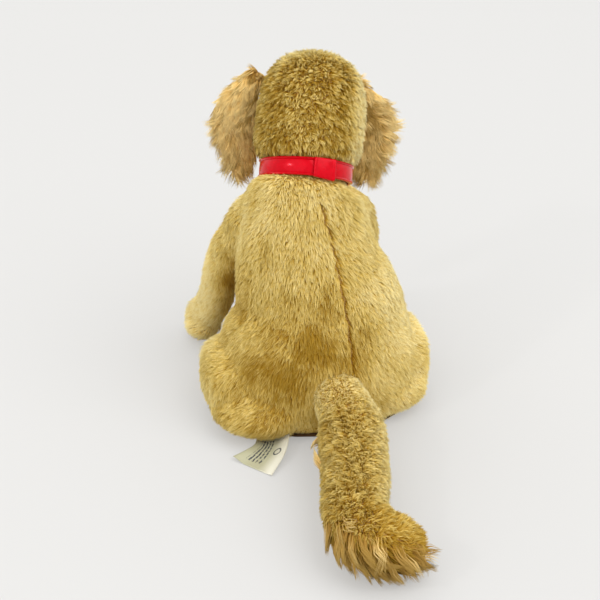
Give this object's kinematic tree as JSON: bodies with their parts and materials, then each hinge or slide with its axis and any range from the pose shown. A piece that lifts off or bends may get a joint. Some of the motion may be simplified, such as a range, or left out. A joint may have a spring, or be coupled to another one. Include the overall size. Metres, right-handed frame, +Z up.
{
  "type": "sitting plush dog",
  "caption": "Sitting plush dog with a pear-shaped body, drooping ears, a tail along the floor, a strap collar and a care label; head, ears, legs and tail move.",
  "frame": {"origin": "centre of the flat panel the dog sits on, at floor level", "axes": "+Z up, the dog faces -Y, +X is its left side"},
  "size_m": [0.1796, 0.3547, 0.2495],
  "materials": {
    "body_fur": "short plush pile",
    "ear_fur": "long curly plush pile",
    "ear_lining": "short plush",
    "fibre_fill": "loose fibre",
    "pouch_cloth": "plain woven cloth",
    "suede": "matt suede cloth",
    "collar_vinyl": "glossy soft vinyl",
    "nose_plastic": "satin",
    "eye_plastic": "polished",
    "washer_plastic": "plain",
    "label_satin": "woven satin"
  },
  "bodies": {
    "torso": {"seat_panel": "body_fur", "back_panel_left": "body_fur", "back_panel_right": "body_fur", "belly_panel": "body_fur", "torso_stuffing": "fibre_fill", "bean_pouch": "pouch_cloth"},
    "neck": {"neck_stuffing": "fibre_fill", "neck_skin": "body_fur"},
    "collar": {"collar_strap": "collar_vinyl", "collar_keeper": "collar_vinyl"},
    "head": {"head_side_left": "body_fur", "head_side_right": "body_fur", "head_crown": "body_fur", "head_stuffing": "fibre_fill", "muzzle": "body_fur", "chin": "body_fur", "nose": "nose_plastic", "eye_left": "eye_plastic", "eye_right": "eye_plastic", "eye_washer_left": "washer_plastic", "eye_washer_right": "washer_plastic"},
    "ear_left": {"ear_outer_left": "ear_fur", "ear_lining_left": "ear_lining"},
    "ear_right": {"ear_outer_right": "ear_fur", "ear_lining_right": "ear_lining"},
    "front_leg_left": {"front_leg_front_left": "body_fur", "front_leg_back_left": "body_fur", "front_leg_stuffing_left": "fibre_fill", "paw_pad_left": "suede"},
    "front_leg_right": {"front_leg_front_right": "body_fur", "front_leg_back_right": "body_fur", "front_leg_stuffing_right": "fibre_fill", "paw_pad_right": "suede"},
    "hind_leg_left": {"haunch_left": "body_fur", "haunch_stuffing_left": "fibre_fill", "hind_foot_left": "body_fur", "sole_pad_left": "suede"},
    "hind_leg_right": {"haunch_right": "body_fur", "haunch_stuffing_right": "fibre_fill", "hind_foot_right": "body_fur", "sole_pad_right": "suede"},
    "tail_base": {"tail_base_upper": "body_fur", "tail_base_lower": "body_fur", "tail_base_stuffing": "fibre_fill"},
    "tail_tip": {"tail_tip_upper": "body_fur", "tail_tip_lower": "body_fur", "tail_tip_stuffing": "fibre_fill"},
    "label": {"care_label": "label_satin"}
  },
  "joints": [
    {"name": "neck_nod", "type": "hinge", "parent": "torso", "child": "neck", "pos_m": [0.005, -0.0099, 0.1524], "axis": [1, 0, 0], "range_deg": [-10, 10], "stiffness_Nm_per_rad": 0.6},
    {"name": "head_turn", "type": "hinge", "parent": "neck", "child": "head", "pos_m": [0.005, -0.0099, 0.1524], "axis": [-0.2532, -0.5, 0.8282], "range_deg": [-25, 25], "stiffness_Nm_per_rad": 0.3},
    {"name": "collar_spin", "type": "hinge", "parent": "neck", "child": "collar", "pos_m": [0.005, -0.0099, 0.1524], "axis": [-0.2532, -0.5, 0.8282], "continuous": true},
    {"name": "ear_left_flap", "type": "hinge", "parent": "head", "child": "ear_left", "pos_m": [0.0206, -0.0707, 0.2312], "axis": [0, -1, 0], "range_deg": [0, 50], "stiffness_Nm_per_rad": 0.02},
    {"name": "ear_right_flap", "type": "hinge", "parent": "head", "child": "ear_right", "pos_m": [-0.052, -0.0707, 0.209], "axis": [0, 1, 0], "range_deg": [0, 50], "stiffness_Nm_per_rad": 0.02},
    {"name": "front_leg_left_swing", "type": "hinge", "parent": "torso", "child": "front_leg_left", "pos_m": [0.0415, -0.02, 0.133], "axis": [-1, 0, 0], "range_deg": [0, 30], "stiffness_Nm_per_rad": 0.08},
    {"name": "front_leg_right_swing", "type": "hinge", "parent": "torso", "child": "front_leg_right", "pos_m": [-0.0375, -0.02, 0.133], "axis": [-1, 0, 0], "range_deg": [0, 30], "stiffness_Nm_per_rad": 0.08},
    {"name": "hind_leg_left_lift", "type": "hinge", "parent": "torso", "child": "hind_leg_left", "pos_m": [0.056, 0.015, 0.036], "axis": [-1, 0, 0], "range_deg": [0, 10], "stiffness_Nm_per_rad": 0.15},
    {"name": "hind_leg_right_lift", "type": "hinge", "parent": "torso", "child": "hind_leg_right", "pos_m": [-0.056, 0.015, 0.036], "axis": [-1, 0, 0], "range_deg": [0, 10], "stiffness_Nm_per_rad": 0.15},
    {"name": "tail_wag", "type": "hinge", "parent": "torso", "child": "tail_base", "pos_m": [0.002, 0.0735, 0.036], "axis": [0, 0, 1], "range_deg": [-15, 15], "stiffness_Nm_per_rad": 0.15},
    {"name": "tail_tip_bend", "type": "hinge", "parent": "tail_base", "child": "tail_tip", "pos_m": [0.0225, 0.158, 0.0275], "axis": [0, 0, 1], "range_deg": [-20, 20], "stiffness_Nm_per_rad": 0.05},
    {"name": "label_flap", "type": "hinge", "parent": "torso", "child": "label", "pos_m": [0.0465, 0.07, 0.003], "axis": [0.6691, -0.7431, 0], "range_deg": [0, 45]}
  ]
}
